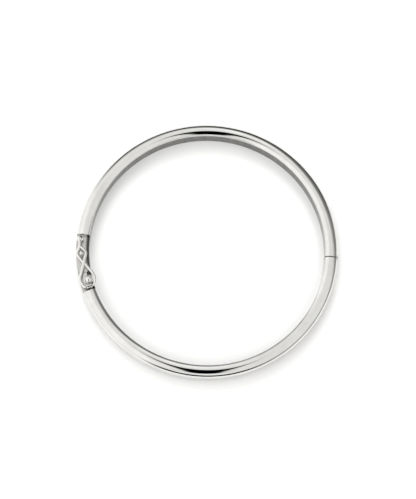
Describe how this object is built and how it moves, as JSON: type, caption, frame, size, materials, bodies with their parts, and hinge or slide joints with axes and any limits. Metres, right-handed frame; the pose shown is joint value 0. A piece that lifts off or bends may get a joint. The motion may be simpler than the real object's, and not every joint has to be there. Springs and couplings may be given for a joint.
{
  "type": "hinged bangle bracelet",
  "caption": "Hollow round hinged bangle with a domed outer face, a push-button tongue clasp and a wire figure-eight safety catch.",
  "frame": {"origin": "centre of the wrist opening at the middle of the bangle's width", "axes": "+Z along the bangle's axis towards the edge with the clasp recess, +X to the main hinge"},
  "size_m": [0.063, 0.063, 0.0055],
  "materials": {
    "polished_shell": "mirror polished sterling silver, lightly worn",
    "inner_band": "polished, finely scratched",
    "recess_metal": "fine satin",
    "clasp_metal": "filed",
    "hinge_metal": "polished flush",
    "catch_metal": "polished wire"
  },
  "bodies": {
    "upper_half": {"upper_outer_shell": "polished_shell", "upper_inner_strip": "inner_band", "upper_recess_floor": "recess_metal", "upper_recess_end_wall": "recess_metal", "upper_clasp_end_plate": "clasp_metal", "upper_hinge_block": "hinge_metal", "upper_hinge_knuckles": "hinge_metal", "hinge_pin": "hinge_metal", "catch_ball": "catch_metal", "catch_ball_post": "catch_metal", "tongue_lower_leaf": "clasp_metal"},
    "release_leaf": {"tongue_spring_leaf": "clasp_metal", "release_button_stem": "clasp_metal", "release_button_cap": "catch_metal"},
    "lower_half": {"lower_outer_shell": "polished_shell", "lower_inner_strip": "inner_band", "lower_recess_floor": "recess_metal", "lower_recess_end_wall": "recess_metal", "lower_clasp_end_plate": "clasp_metal", "lower_hinge_block": "hinge_metal", "lower_hinge_knuckle": "hinge_metal", "safety_hinge_tube": "catch_metal", "safety_hinge_foot": "catch_metal"},
    "safety_catch": {"safety_figure_eight": "catch_metal", "safety_tip_ball": "catch_metal"}
  },
  "joints": [
    {"name": "main_hinge", "type": "hinge", "parent": "upper_half", "child": "lower_half", "pos_m": [0.0309, 0, 0], "axis": [0, 0, 1], "range_deg": [0, 55]},
    {"name": "safety_hinge", "type": "hinge", "parent": "lower_half", "child": "safety_catch", "pos_m": [-0.02723, -0.01161, 0.00228], "axis": [0.9483, 0.3175, 0], "range_deg": [0, 110]},
    {"name": "release_press", "type": "hinge", "parent": "upper_half", "child": "release_leaf", "pos_m": [-0.0273, -0.01202, -0.00122], "axis": [-0.9863, -0.165, 0], "range_deg": [0, 8], "stiffness_Nm_per_rad": 0.02, "springref_deg": -2.86}
  ]
}
